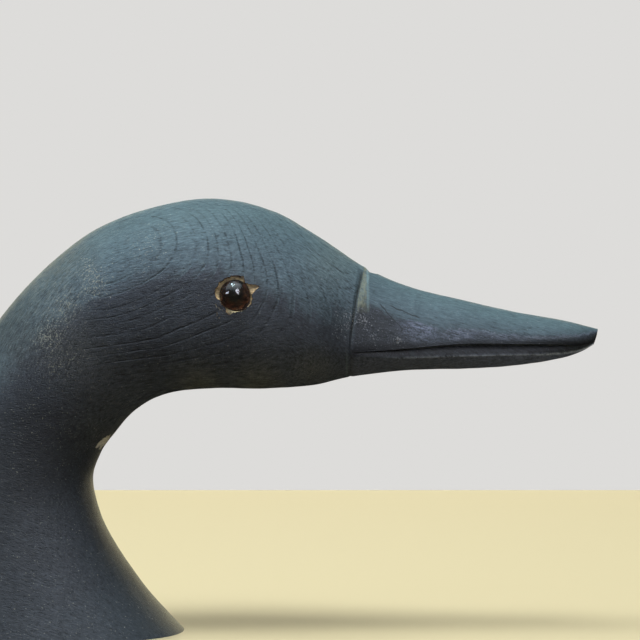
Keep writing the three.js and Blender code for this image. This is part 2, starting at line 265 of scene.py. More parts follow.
def carved_rings():
    """Rings of points round the head, bill and neck, with masks for how the paint has worn and for painted shade and
    highlights.
    """
    place = ring_places()
    rows = along(place)
    rows[:, CUT] = np.where(place > GROOVE_AT, np.maximum(rows[:, CUT], 0), 0)
    rows[:, CUT] *= np.clip((place - GROOVE_AT) / GROOVE_BILL_EDGE, 0, 1)
    down, out = girth(rows)
    inset, groove, across = groove_inset(place[:, None], down)
    bill_side = across > GROOVE_BOTTOM
    upper, lower = rows[:, UPPER], rows[:, LOWER]
    line = lower - upper
    length = np.linalg.norm(line, axis=1)[:, None]
    forward = np.stack([-line[:, 1], line[:, 0]], axis=1) / length
    shrunk = 0.5 + (down - 0.5) * (1 - 2 * inset / length)
    bow = (rows[:, BOW, None] * np.sin(math.pi * down))[..., None]
    flat = upper[:, None, :] + line[:, None, :] * shrunk[..., None] + forward[:, None, :] * bow
    out = SLIMMED * out * (1 - inset / rows[:, HALF, None])
    right = np.stack([flat[..., 0], -out, flat[..., 1]], axis=2)
    on_bill = np.clip((from_groove(place[:, None], down) - 0.02) / 0.1, 0, 1)
    below_edge = np.interp(right[..., 0], *WORN_EDGE.T) - right[..., 2]
    from_ridge = (down - rows[:, RIDGE, None]) * length
    above_lip = (rows[:, LIP, None] - down) * length
    above_ridge = down < rows[:, RIDGE, None]
    rooted = np.clip((below_edge + 2.5) / 5, 0, 1) * np.clip((150 - right[..., 0]) / 14, 0, 1)
    # Painted shade, the shaded mask: the shadow under the upper bill's lip over the mouth, lighter on the lower lip,
    # and a little down the bill's side
    broad = 2.2 + 1.6 * np.clip((152 - right[..., 0]) / 16, 0, 1)
    lip_shadow = np.where(above_lip > 0, 0.68 * np.clip((broad - above_lip) / 1.8, 0, 1), 0.25 * above_ridge)
    # A painted highlight along the groove's head-side edge, low down
    head_edge_highlight = 0.3 * np.clip((across + 0.19) / 0.05, 0, 1) * np.clip((-0.05 - across) / 0.03, 0, 1)
    head_edge_highlight = head_edge_highlight * np.clip((down - 0.74) / 0.05, 0, 1)
    bared = place[:, None] - GROOVE_AT + sweep(down) > GROOVE_BOTTOM
    bared = bared * np.clip((right[..., 2] - 126.5) / 4, 0, 1) * np.clip((128.9 - right[..., 0]) / 0.6, 0, 1)
    # edge is a painted highlight along the bill-side edge of the dusty groove
    edge = bared * np.clip((right[..., 0] - 127.5) / 0.4, 0, 1)
    masks = {
        "groove": bared * (1 - edge),
        "groove_edge_highlight": edge + head_edge_highlight,
        # Painted shade on the groove's wall
        "groove_wall_shade": (np.where(bill_side, np.clip(4 * groove - 3, 0, 1), np.clip(2.2 * groove - 0.8, 0, 1))
                        * (1 - 0.75 * np.clip((down - 0.5) / 0.15, 0, 1)) * np.clip((down - 0.02) / 0.06, 0, 1)),
        "rooted": above_ridge * on_bill * rooted,
        "under_bill": on_bill * np.clip((down - rows[:, RIDGE, None]) / 0.02, 0, 1),
        # The ridge mask places a painted highlight along the lower bill's ridge
        "ridge": np.clip((place[:, None] - GROOVE_AT - 0.6) / 0.6, 0, 1) * np.exp(-(((from_ridge + 0.1) / 0.38) ** 2)),
        # Painted shade under the upper bill's lip and down the bill's side
        "shaded": on_bill * (lip_shadow + 0.2 * above_ridge * np.clip((below_edge + 6) / 6, 0, 1)),
        "worn": above_ridge * on_bill * (np.clip(below_edge, -3, 3) + 3),
        "dusty": sum(strength * nearness(right, x, z, spread) for x, z, spread, strength in DUSTY),
        # Scuffs on the bill, partly worn paint and partly painted sheen
        "scuffs_and_sheen": on_bill * sum(strength * nearness(right, x, z, spread) for x, z, spread, strength in SCUFFS_WITH_SHEEN),
    }
    rings = both_sides(right)
    rings[:, right.shape[1]:, 1] *= -1
    return rings, {name: both_sides(value) for name, value in masks.items()}


def nearness(points, x, z, spread):
    """A smooth hill round a place on the side view, 1 at its middle."""
    return np.exp(-((points[..., 0] - x) ** 2 + (points[..., 2] - z) ** 2) / spread ** 2)


def both_sides(values):
    """Values down the right side, then back up the left side, as one ring."""
    return np.concatenate([values, values[:, -2:0:-1]], axis=1)


def closed_mesh(name, rings, start, end):
    """A mesh through rings of equal length, closed by a fan at each end."""
    count, size = rings.shape[:2]
    points = np.vstack([rings.reshape(-1, 3), start, end]) * MM
    r, i = np.meshgrid(np.arange(count - 1), np.arange(size), indexing="ij")
    a = (r * size + i).ravel()
    b = (r * size + (i + 1) % size).ravel()
    quads = np.stack([a, b, b + size, a + size], axis=1).tolist()
    rim = range(size)
    first, last = count * size, count * size + 1
    top = (count - 1) * size
    fans = [(first, (k + 1) % size, k) for k in rim]
    fans += [(last, top + k, top + (k + 1) % size) for k in rim]
    mesh = bpy.data.meshes.new(name)
    mesh.from_pydata(points.tolist(), [], quads + fans)
    mesh.update()
    return mesh


def new_object(name, mesh):
    made = bpy.data.objects.new(name, mesh)
    bpy.context.scene.collection.objects.link(made)
    return made


def baked(obj):
    """obj with its modifiers turned into a plain mesh."""
    evaluated = obj.evaluated_get(bpy.context.evaluated_depsgraph_get())
    mesh = bpy.data.meshes.new_from_object(evaluated)
    obj.modifiers.clear()
    obj.data = mesh
    return obj


def colour(code):
    """An sRGB hex colour as the linear values that a shader takes."""
    parts = [int(code[i:i + 2], 16) / 255 for i in (1, 3, 5)]
    linear = [c / 12.92 if c <= 0.04045 else ((c + 0.055) / 1.055) ** 2.4 for c in parts]
    return (*linear, 1.0)


def add(tree, kind, inputs=None, **settings):
    """Adds a node of a kind, sets its properties, and links or fills its inputs.

    An input may be a value, a socket, or a node, which stands for its first working output.
    """
    made = tree.nodes.new(kind)
    for name, value in settings.items():
        setattr(made, name, value)
    for key, value in (inputs or {}).items():
        if isinstance(value, bpy.types.Node):
            value = next(socket for socket in value.outputs if socket.enabled)
        if isinstance(value, bpy.types.NodeSocket):
            tree.links.new(value, made.inputs[key])
        else:
            made.inputs[key].default_value = value
    return made


# The wood's growth layers lie across the block, tilted by a slope that changes along the head,
# and their lines run up towards the bill on the cheek, upright before the eye and down on the bill.
LAYER_WIDTH = 3.0
LAYER_LEVEL = 110.0
CHEEK_SLOPE, FRONT_SLOPE, BILL_SLOPE = 0.75, 0.12, 0.9
RISE = 0.13
FALL = 0.42


def growth_layers(tree, place):
    """How many growth layers lie between the block's middle and a place in millimetres."""
    apart = add(tree, "ShaderNodeSeparateXYZ", {0: place})
    x, y, z = (apart.outputs[i] for i in range(3))
    slope = add(tree, "ShaderNodeMapRange", {0: x, 1: 20.0, 2: 110.0, 3: CHEEK_SLOPE, 4: FRONT_SLOPE},
                interpolation_type="SMOOTHSTEP")
    steeper = add(tree, "ShaderNodeMapRange", {0: x, 1: 108.0, 2: 160.0, 4: BILL_SLOPE - FRONT_SLOPE},
                  interpolation_type="SMOOTHSTEP")
    slope = add(tree, "ShaderNodeMath", {0: slope, 1: steeper}, operation="ADD")
    level = add(tree, "ShaderNodeMath", {0: z, 1: LAYER_LEVEL}, operation="SUBTRACT")
    lifted = add(tree, "ShaderNodeMath", {0: level, 1: slope}, operation="MULTIPLY")
    depth = add(tree, "ShaderNodeMath", {0: y, 1: lifted}, operation="SUBTRACT")
    depth = add(tree, "ShaderNodeMath", {0: x, 1: RISE, 2: depth}, operation="MULTIPLY_ADD")
    ahead = add(tree, "ShaderNodeMath", {0: x, 1: 115.0}, operation="SUBTRACT")
    ahead = add(tree, "ShaderNodeMath", {0: ahead, 1: 0.0, 2: 30.0}, operation="SMOOTH_MAX")
    depth = add(tree, "ShaderNodeMath", {0: ahead, 1: -FALL, 2: depth}, operation="MULTIPLY_ADD")
    below = add(tree, "ShaderNodeMath", {0: 82.0, 1: z}, operation="SUBTRACT")
    below = add(tree, "ShaderNodeMath", {0: below, 1: 0.0, 2: 25.0}, operation="SMOOTH_MAX")
    turned = add(tree, "ShaderNodeMath", {0: below, 1: x}, operation="MULTIPLY")
    depth = add(tree, "ShaderNodeMath", {0: turned, 1: -0.009, 2: depth}, operation="MULTIPLY_ADD")
    swell = add(tree, "ShaderNodeTexNoise", {"Vector": place, "Scale": 0.018, "Detail": 1.0})
    depth = add(tree, "ShaderNodeMath", {0: swell, 1: 8.0, 2: depth}, operation="MULTIPLY_ADD")
    ripple = add(tree, "ShaderNodeTexNoise", {"Vector": place, "Scale": 0.07, "Detail": 1.0})
    depth = add(tree, "ShaderNodeMath", {0: ripple, 1: 1.2, 2: depth}, operation="MULTIPLY_ADD")
    return add(tree, "ShaderNodeMath", {0: depth, 1: LAYER_WIDTH}, operation="DIVIDE")


def across_layer(tree, place):
    """How far across its growth layer a place lies, from 0 to 1, and how boldly that layer shows."""
    layers = growth_layers(tree, place)
    uneven = add(tree, "ShaderNodeTexNoise", {"W": layers, "Scale": 0.37, "Detail": 2.0}, noise_dimensions="1D")
    counted = add(tree, "ShaderNodeMath", {0: uneven, 1: 1.2, 2: layers}, operation="MULTIPLY_ADD")
    whole = add(tree, "ShaderNodeMath", {0: counted}, operation="FLOOR")
    chance = add(tree, "ShaderNodeTexWhiteNoise", {"W": whole}, noise_dimensions="1D")
    bold = add(tree, "ShaderNodeMapRange", {0: chance.outputs["Value"], 3: 0.35, 4: 1.0})
    return add(tree, "ShaderNodeMath", {0: counted}, operation="FRACT"), bold


def layer_edges(tree, across, start):
    """The late wood at the edge of each layer, rising from a start to a crisp edge, 0 to 1."""
    rise = add(tree, "ShaderNodeMapRange", {0: across, 1: start, 2: 0.88}, interpolation_type="SMOOTHSTEP")
    fall = add(tree, "ShaderNodeMapRange", {0: across, 1: 0.9, 2: 1.0, 3: 1.0, 4: 0.0})
    return add(tree, "ShaderNodeMath", {0: rise, 1: fall}, operation="MULTIPLY")


# The nape's outline is close to an arc round this place on the side view.
NAPE_CENTRE = (60.0, 85.0)
NAPE_RADIUS = 85.0


def fibre_frame(tree, place):
    """Places sheared so that X runs along the fibres: up towards the eye, down the lore, down the neck."""
    apart = add(tree, "ShaderNodeSeparateXYZ", {0: place})
    x, y, z = (apart.outputs[i] for i in range(3))
    rise = add(tree, "ShaderNodeMapRange", {0: z, 1: 60.0, 2: 115.0, 3: 0.3, 4: -0.17},
               interpolation_type="SMOOTHSTEP")
    across = add(tree, "ShaderNodeMath", {0: x, 1: rise, 2: z}, operation="MULTIPLY_ADD")
    for start, fall in ((96.0, 0.75), (124.0, -0.28)):
        ahead = add(tree, "ShaderNodeMath", {0: x, 1: start}, operation="SUBTRACT")
        ahead = add(tree, "ShaderNodeMath", {0: ahead, 1: 0.0, 2: 12.0}, operation="SMOOTH_MAX")
        across = add(tree, "ShaderNodeMath", {0: ahead, 1: fall, 2: across}, operation="MULTIPLY_ADD")
    return add(tree, "ShaderNodeCombineXYZ", {"X": x, "Y": y, "Z": across})


def nape_frame(tree, place):
    """Places bent so that X runs round the nape, in line with its outline."""
    offset = add(tree, "ShaderNodeVectorMath", {0: place, 1: (NAPE_CENTRE[0], 0, NAPE_CENTRE[1])}, operation="SUBTRACT")
    apart = add(tree, "ShaderNodeSeparateXYZ", {0: offset})
    x, y, z = (apart.outputs[i] for i in range(3))
    flat = add(tree, "ShaderNodeVectorMath", {0: offset, 1: (1, 0, 1)}, operation="MULTIPLY")
    radius = add(tree, "ShaderNodeVectorMath", {0: flat}, operation="LENGTH")
    back = add(tree, "ShaderNodeMath", {0: x, 1: -1.0}, operation="MULTIPLY")
    angle = add(tree, "ShaderNodeMath", {0: z, 1: back}, operation="ARCTAN2")
    arc = add(tree, "ShaderNodeMath", {0: angle, 1: NAPE_RADIUS}, operation="MULTIPLY")
    return add(tree, "ShaderNodeCombineXYZ", {"X": arc, "Y": y, "Z": radius})


def grain_strength(tree, place, normal):
    """How strongly the layers show: broken along the fibres, weak on the bill, the neck and end grain."""
    apart = add(tree, "ShaderNodeSeparateXYZ", {0: place})
    x, z = apart.outputs["X"], apart.outputs["Z"]
    facing = add(tree, "ShaderNodeSeparateXYZ", {0: normal})
    end_grain = add(tree, "ShaderNodeMath", {0: facing.outputs["X"]}, operation="ABSOLUTE")
    clear = add(tree, "ShaderNodeMapRange", {0: end_grain, 1: 0.5, 2: 0.85, 3: 1.0, 4: 0.1})
    patchy = add(tree, "ShaderNodeTexNoise", {"Vector": place, "Scale": 0.11, "Detail": 3.0, "Roughness": 0.6})
    patchy = add(tree, "ShaderNodeMapRange", {0: patchy, 1: 0.36, 2: 0.56, 3: 0.4, 4: 1.0})
    fibres = add(tree, "ShaderNodeVectorMath", {0: fibre_frame(tree, place), 1: (0.2, 0.6, 1)}, operation="MULTIPLY")
    broken = add(tree, "ShaderNodeTexNoise", {"Vector": fibres, "Scale": 0.5, "Detail": 2.0})
    broken = add(tree, "ShaderNodeMapRange", {0: broken, 1: 0.36, 2: 0.52, 3: 0.35, 4: 1.0})
    nape = add(tree, "ShaderNodeMapRange", {0: x, 1: 14.0, 2: 28.0, 3: 0.05, 4: 1.0})
    bill = add(tree, "ShaderNodeMapRange", {0: x, 1: 112.0, 2: 124.0, 3: 1.0, 4: 0.4})
    low = add(tree, "ShaderNodeMapRange", {0: z, 1: 92.0, 2: 106.0, 3: 0.1, 4: 1.0})
    in_front = add(tree, "ShaderNodeMapRange", {0: x, 1: 68.0, 2: 84.0})
    under_eye = add(tree, "ShaderNodeMapRange", {0: z, 1: 128.0, 2: 112.0, 4: 0.9})
    hidden = add(tree, "ShaderNodeMath", {0: in_front, 1: under_eye}, operation="MULTIPLY")
    open_to_view = add(tree, "ShaderNodeMath", {0: 1.0, 1: hidden}, operation="SUBTRACT")
    shown = clear
    for share in (patchy, broken, nape, bill, low, open_to_view):
        shown = add(tree, "ShaderNodeMath", {0: shown, 1: share}, operation="MULTIPLY")
    return shown


def relief_tree():
    """Geometry nodes that sink the growth layers' edges and leave the knife's slight unevenness."""
    tree = bpy.data.node_groups.new("raised_grain", "GeometryNodeTree")
    face = tree.interface
    face.new_socket("Geometry", in_out="INPUT", socket_type="NodeSocketGeometry")
    for name in ("Grain Depth", "Unevenness", "Flat Below"):
        face.new_socket(name, in_out="INPUT", socket_type="NodeSocketFloat")
    face.new_socket("Material", in_out="INPUT", socket_type="NodeSocketMaterial")
    face.new_socket("Geometry", in_out="OUTPUT", socket_type="NodeSocketGeometry")
    given = tree.nodes.new("NodeGroupInput").outputs
    position = tree.nodes.new("GeometryNodeInputPosition")
    normal = tree.nodes.new("GeometryNodeInputNormal")
    place = add(tree, "ShaderNodeVectorMath", {0: position, "Scale": 1 / MM}, operation="SCALE")
    across, bold = across_layer(tree, place)
    edge = layer_edges(tree, across, 0.2)
    grain = add(tree, "ShaderNodeMath", {0: edge, 1: grain_strength(tree, place, normal)}, operation="MULTIPLY")
    grain = add(tree, "ShaderNodeMath", {0: grain, 1: bold}, operation="MULTIPLY")
    grain = add(tree, "ShaderNodeMath", {0: grain, 1: given["Grain Depth"]}, operation="MULTIPLY")
    lumps = add(tree, "ShaderNodeTexNoise", {"Vector": place, "Scale": 0.06, "Detail": 2.0})
    lumps = add(tree, "ShaderNodeMapRange", {0: lumps, 1: 0.3, 2: 0.7, 3: 0.0, 4: given["Unevenness"]})
    lumps = add(tree, "ShaderNodeMath", {0: lumps, 1: grain}, operation="ADD")
    level = add(tree, "ShaderNodeSeparateXYZ", {0: place})
    above = add(tree, "ShaderNodeMapRange", {0: level.outputs["Z"], 1: 0.0, 2: given["Flat Below"]})
    depth = add(tree, "ShaderNodeMath", {0: lumps, 1: above}, operation="MULTIPLY")
    depth = add(tree, "ShaderNodeMath", {0: depth, 1: -MM}, operation="MULTIPLY")
    offset = add(tree, "ShaderNodeVectorMath", {0: normal, "Scale": depth}, operation="SCALE")
    moved = add(tree, "GeometryNodeSetPosition", {"Geometry": given["Geometry"], "Offset": offset})
    real = add(tree, "GeometryNodeRealizeInstances", {"Geometry": moved})
    finished = add(tree, "GeometryNodeSetMaterial", {"Geometry": real, "Material": given["Material"]})
    add(tree, "NodeGroupOutput", {0: finished})
    return tree


def bead_tree():
    """Geometry nodes that turn a ball into a glass eye's form: a dome, a short rim and a flat back."""
    tree = bpy.data.node_groups.new("flat_backed_bead", "GeometryNodeTree")
    face = tree.interface
    for name in ("Radius", "Dome", "Thickness"):
        face.new_socket(name, in_out="INPUT", socket_type="NodeSocketFloat")
    for name in ("Middle", "Turn"):
        face.new_socket(name, in_out="INPUT", socket_type="NodeSocketVector")
    face.new_socket("Material", in_out="INPUT", socket_type="NodeSocketMaterial")
    face.new_socket("Geometry", in_out="OUTPUT", socket_type="NodeSocketGeometry")
    given = tree.nodes.new("NodeGroupInput").outputs
    radius, dome, thick = (given[name] for name in ("Radius", "Dome", "Thickness"))
    ball = add(tree, "GeometryNodeMeshUVSphere", {"Segments": 64, "Rings": 48, "Radius": 1.0})
    position = tree.nodes.new("GeometryNodeInputPosition")
    apart = add(tree, "ShaderNodeSeparateXYZ", {0: position})
    from_top = add(tree, "ShaderNodeMath", {0: apart.outputs["Z"]}, operation="ARCCOSINE")

    # The dome is part of a sphere whose rim angle follows from its height
    ratio = add(tree, "ShaderNodeMath", {0: dome, 1: radius}, operation="DIVIDE")
    half_rim = add(tree, "ShaderNodeMath", {0: ratio}, operation="ARCTANGENT")
    rim = add(tree, "ShaderNodeMath", {0: half_rim, 1: 2.0}, operation="MULTIPLY")
    rim_sine = add(tree, "ShaderNodeMath", {0: rim}, operation="SINE")
    curvature = add(tree, "ShaderNodeMath", {0: radius, 1: rim_sine}, operation="DIVIDE")
    share = add(tree, "ShaderNodeMapRange", {0: from_top, 1: 0.0, 2: math.pi / 2})
    angle = add(tree, "ShaderNodeMath", {0: share, 1: rim}, operation="MULTIPLY")
    sine = add(tree, "ShaderNodeMath", {0: angle}, operation="SINE")
    cosine = add(tree, "ShaderNodeMath", {0: angle}, operation="COSINE")
    reach = add(tree, "ShaderNodeMath", {0: sine, 1: curvature}, operation="MULTIPLY")
    back = add(tree, "ShaderNodeMapRange", {0: from_top, 1: math.pi * 0.75, 2: math.pi, 3: 1.0, 4: 0.0})
    reach = add(tree, "ShaderNodeMath", {0: reach, 1: back}, operation="MULTIPLY")
    drop = add(tree, "ShaderNodeMath", {0: curvature, 1: dome}, operation="SUBTRACT")
    height = add(tree, "ShaderNodeMath", {0: cosine, 1: curvature}, operation="MULTIPLY")
    height = add(tree, "ShaderNodeMath", {0: height, 1: drop}, operation="SUBTRACT")
    wall = add(tree, "ShaderNodeMapRange", {0: from_top, 1: math.pi / 2, 2: math.pi * 0.75})
    sunk = add(tree, "ShaderNodeMath", {0: wall, 1: thick}, operation="MULTIPLY")
    height = add(tree, "ShaderNodeMath", {0: height, 1: sunk}, operation="SUBTRACT")

    flat = add(tree, "ShaderNodeCombineXYZ", {"X": apart.outputs["X"], "Y": apart.outputs["Y"]})
    outward = add(tree, "ShaderNodeVectorMath", {0: flat}, operation="NORMALIZE")
    spread = add(tree, "ShaderNodeVectorMath", {0: outward, "Scale": reach}, operation="SCALE")
    lift = add(tree, "ShaderNodeCombineXYZ", {"Z": height})
    shape = add(tree, "ShaderNodeVectorMath", {0: spread, 1: lift}, operation="ADD")
    shaped = add(tree, "GeometryNodeSetPosition", {"Geometry": ball, "Position": shape})
    placed = add(tree, "GeometryNodeTransform",
                 {"Geometry": shaped, "Rotation": given["Turn"], "Translation": given["Middle"]})
    real = add(tree, "GeometryNodeRealizeInstances", {"Geometry": placed})
    finished = add(tree, "GeometryNodeSetMaterial", {"Geometry": real, "Material": given["Material"]})
    add(tree, "NodeGroupOutput", {0: finished})
    return tree


def with_tree(obj, tree, values):
    """Gives obj a geometry nodes modifier with these named inputs."""
    modifier = obj.modifiers.new(tree.name, "NODES")
    modifier.node_group = tree
    ids = {item.name: item.identifier for item in tree.interface.items_tree if item.in_out == "INPUT"}
    for name, value in values.items():
        modifier[ids[name]] = value


def new_material(name):
    """A material with its shader, and places in millimetres, for the caller to fill in."""
    material = bpy.data.materials.new(name)
    material.use_nodes = True
    tree = material.node_tree
    tree.nodes.clear()
    shader = tree.nodes.new("ShaderNodeBsdfPrincipled")
    add(tree, "ShaderNodeOutputMaterial", {"Surface": shader})
    coordinates = tree.nodes.new("ShaderNodeTexCoord")
    place = add(tree, "ShaderNodeVectorMath", {0: coordinates.outputs["Object"], "Scale": 1 / MM},
                operation="SCALE")
    return material, tree, shader, place


# The paint's colours where it faces down or sideways, where it starts to face up, and on top; the paler two are faded
# paint with painted top light
SHADED = "#393e49"
FADED_LIT = "#4f5f69"
FADED_TOP_LIT = "#54666b"


def spot(tree, place, x, z, reach):
    """A soft round spot on the side view, 1 in its middle and 0 at its reach."""
    offset = add(tree, "ShaderNodeVectorMath", {0: place, 1: (x, 0, z)}, operation="SUBTRACT")
    offset = add(tree, "ShaderNodeVectorMath", {0: offset, 1: (1, 0, 1)}, operation="MULTIPLY")
    apart = add(tree, "ShaderNodeVectorMath", {0: offset}, operation="LENGTH")
    return add(tree, "ShaderNodeMapRange", {0: apart, 1: reach, 2: 0.0}, interpolation_type="SMOOTHSTEP")


def thin_line(tree, place, start, end):
    """A line 0.5 mm wide on the right side, from one place to another on the side view, 0 to 1."""
    along_x, along_z = (b - a for a, b in zip(start, end))
    length = math.hypot(along_x, along_z)
    offset = add(tree, "ShaderNodeVectorMath", {0: place, 1: (start[0], 0, start[1])}, operation="SUBTRACT")
    run = add(tree, "ShaderNodeVectorMath", {0: offset, 1: (along_x / length, 0, along_z / length)},
              operation="DOT_PRODUCT")
    aside = add(tree, "ShaderNodeVectorMath", {0: offset, 1: (-along_z / length, 0, along_x / length)},
                operation="DOT_PRODUCT")
    waver = add(tree, "ShaderNodeTexNoise", {"Vector": place, "Scale": 0.3, "Detail": 1.0})
    waver = add(tree, "ShaderNodeMapRange", {0: waver, 3: -0.6, 4: 0.6})
    aside = add(tree, "ShaderNodeMath", {0: aside, 1: waver}, operation="ADD")
    aside = add(tree, "ShaderNodeMath", {0: aside}, operation="ABSOLUTE")
    mark = add(tree, "ShaderNodeMapRange", {0: aside, 1: 0.1, 2: 0.3, 3: 1.0, 4: 0.0})
    middle = add(tree, "ShaderNodeMath", {0: run, 1: length / 2}, operation="SUBTRACT")
    middle = add(tree, "ShaderNodeMath", {0: middle}, operation="ABSOLUTE")
    inside = add(tree, "ShaderNodeMapRange", {0: middle, 1: length / 2, 2: length / 2 - 1.5})
    side = add(tree, "ShaderNodeSeparateXYZ", {0: place})
    right = add(tree, "ShaderNodeMath", {0: side.outputs["Y"], 1: 0.0}, operation="LESS_THAN")
    mark = add(tree, "ShaderNodeMath", {0: mark, 1: inside}, operation="MULTIPLY")
    return add(tree, "ShaderNodeMath", {0: mark, 1: right}, operation="MULTIPLY")


def painted_pine():
    """Thin old oil paint on pine: dull slate blue, faded teal with painted top light on top, with the open grain
    showing.
    """
    material, tree, shader, place = new_material("slate_oil_paint_on_pine")
    surface = tree.nodes.new("ShaderNodeNewGeometry")
    normal = surface.outputs["Normal"]
    facing = add(tree, "ShaderNodeSeparateXYZ", {0: normal})
    across, bold = across_layer(tree, place)
    shown = grain_strength(tree, place, normal)
    grain = fibre_frame(tree, place)
    where = add(tree, "ShaderNodeSeparateXYZ", {0: place})

    # Fibres 0.5 mm wide and some 3 mm long, their bundles three times as wide, and pores
    stretched = add(tree, "ShaderNodeMapping", {"Vector": grain, "Scale": (0.16, 1.0, 1.0)})
    fibre = add(tree, "ShaderNodeTexNoise", {"Vector": stretched, "Scale": 1.7, "Detail": 3.0, "Roughness": 0.7})
    bent = add(tree, "ShaderNodeMapping", {"Vector": nape_frame(tree, place), "Scale": (0.2, 1.0, 1.0)})
    bent = add(tree, "ShaderNodeTexNoise", {"Vector": bent, "Scale": 1.5, "Detail": 3.0, "Roughness": 0.7})
    ends = add(tree, "ShaderNodeMapRange", {0: where.outputs["X"], 1: 30.0, 2: 12.0})
    not_neck = add(tree, "ShaderNodeMapRange", {0: where.outputs["Z"], 1: 88.0, 2: 108.0})
    ends = add(tree, "ShaderNodeMath", {0: ends, 1: not_neck}, operation="MULTIPLY")
    fibre = add(tree, "ShaderNodeMix", {0: ends, 2: fibre, 3: bent})
    bundle = add(tree, "ShaderNodeTexNoise", {"Vector": stretched, "Scale": 0.5, "Detail": 2.0})
    short = add(tree, "ShaderNodeMapping", {"Vector": grain, "Scale": (0.35, 1.0, 1.0)})
    pore = add(tree, "ShaderNodeTexNoise", {"Vector": short, "Scale": 2.2, "Detail": 2.0})
    pore = add(tree, "ShaderNodeMapRange", {0: pore, 1: 0.56, 2: 0.68})
    mottle = add(tree, "ShaderNodeTexNoise", {"Vector": place, "Scale": 0.05, "Detail": 5.0, "Roughness": 0.6})
    grit = add(tree, "ShaderNodeTexNoise", {"Vector": place, "Scale": 1.3, "Detail": 3.0, "Roughness": 0.75})
    salt = add(tree, "ShaderNodeTexNoise", {"Vector": place, "Scale": 1.8, "Detail": 2.0})
    blotch = add(tree, "ShaderNodeTexNoise", {"Vector": place, "Scale": 0.45, "Detail": 3.0, "Roughness": 0.7})

    # Paler where it faces up, partly paint bleached by light and partly painted top light; the pale part ends along the
    # layers
    step = add(tree, "ShaderNodeMath", {0: across, 1: 0.5}, operation="SUBTRACT")
    step = add(tree, "ShaderNodeMath", {0: step, 1: shown}, operation="MULTIPLY")
    step = add(tree, "ShaderNodeMath", {0: step, 1: 0.2, 2: facing.outputs["Z"]}, operation="MULTIPLY_ADD")
    step = add(tree, "ShaderNodeMath", {0: bundle, 1: 0.12, 2: step}, operation="MULTIPLY_ADD")
    ahead = add(tree, "ShaderNodeMapRange", {0: where.outputs["X"], 1: 70.0, 2: 95.0, 4: 0.08})
    step = add(tree, "ShaderNodeMath", {0: step, 1: ahead}, operation="ADD")
    on_bill = add(tree, "ShaderNodeMapRange", {0: where.outputs["X"], 1: 125.0, 2: 165.0, 4: 0.2})
    step = add(tree, "ShaderNodeMath", {0: step, 1: on_bill}, operation="SUBTRACT")
    bleached_and_lit = add(tree, "ShaderNodeMapRange", {0: step, 1: 0.13, 2: 0.37}, interpolation_type="SMOOTHSTEP")
    high = add(tree, "ShaderNodeMapRange", {0: where.outputs["Z"], 1: 66.0, 2: 104.0})
    bleached_and_lit = add(tree, "ShaderNodeMath", {0: bleached_and_lit, 1: high}, operation="MULTIPLY")
    tone = add(tree, "ShaderNodeMix", {0: bleached_and_lit, 6: colour(SHADED), 7: colour(FADED_LIT)}, data_type="RGBA")
    # Palest where it faces most nearly up: painted top light over faded paint
    top_lit = add(tree, "ShaderNodeMapRange", {0: facing.outputs["Z"], 1: 0.35, 2: 0.8})
    tone = add(tree, "ShaderNodeMix", {0: top_lit, 6: tone, 7: colour(FADED_TOP_LIT)}, data_type="RGBA")
    # Darker towards the bottom of the neck
    darker_low = add(tree, "ShaderNodeMapRange", {0: where.outputs["Z"], 1: 98.0, 2: 78.0, 4: 0.85})
    tone = add(tree, "ShaderNodeMix", {0: darker_low, 6: tone, 7: colour("#2a2d33")}, data_type="RGBA")
    patch = add(tree, "ShaderNodeMapRange", {0: mottle, 1: 0.3, 2: 0.7, 3: 0.9, 4: 1.1})
    tone = add(tree, "ShaderNodeVectorMath", {0: tone, "Scale": patch}, operation="SCALE")

    # On the nape's end grain the paint has worn to a pale speckle
    ended = add(tree, "ShaderNodeMath", {0: facing.outputs["X"]}, operation="ABSOLUTE")
    ended = add(tree, "ShaderNodeMapRange", {0: ended, 1: 0.2, 2: 0.6})
    nape = add(tree, "ShaderNodeMapRange", {0: where.outputs["X"], 1: 40.0, 2: 10.0})
    ended = add(tree, "ShaderNodeMath", {0: ended, 1: nape}, operation="MULTIPLY")
    ended = add(tree, "ShaderNodeMath", {0: ended, 1: high}, operation="MULTIPLY")
    behind = add(tree, "ShaderNodeMapRange", {0: where.outputs["X"], 1: -14.0, 2: 6.0, 3: 0.4, 4: 1.0})
    ended = add(tree, "ShaderNodeMath", {0: ended, 1: behind}, operation="MULTIPLY")
    pale = add(tree, "ShaderNodeMapRange", {0: blotch, 1: 0.38, 2: 0.6, 3: 0.3, 4: 0.8})
    pale = add(tree, "ShaderNodeMath", {0: pale, 1: ended}, operation="MULTIPLY")
    tone = add(tree, "ShaderNodeMix", {0: pale, 6: tone, 7: colour("#62655f")}, data_type="RGBA")

    # Broad places where it is rubbed paler or has darkened, with painted shade on the neck's middle and the low cheek
    # and painted light along the jaw and the front of the neck
    for x, z, reach, share, code in TONE_LIGHT_AND_SHADE_SPOTS:
        here = add(tree, "ShaderNodeMath", {0: spot(tree, place, x, z, reach), 1: share}, operation="MULTIPLY")
        tone = add(tree, "ShaderNodeMix", {0: here, 6: tone, 7: colour(code)}, data_type="RGBA")

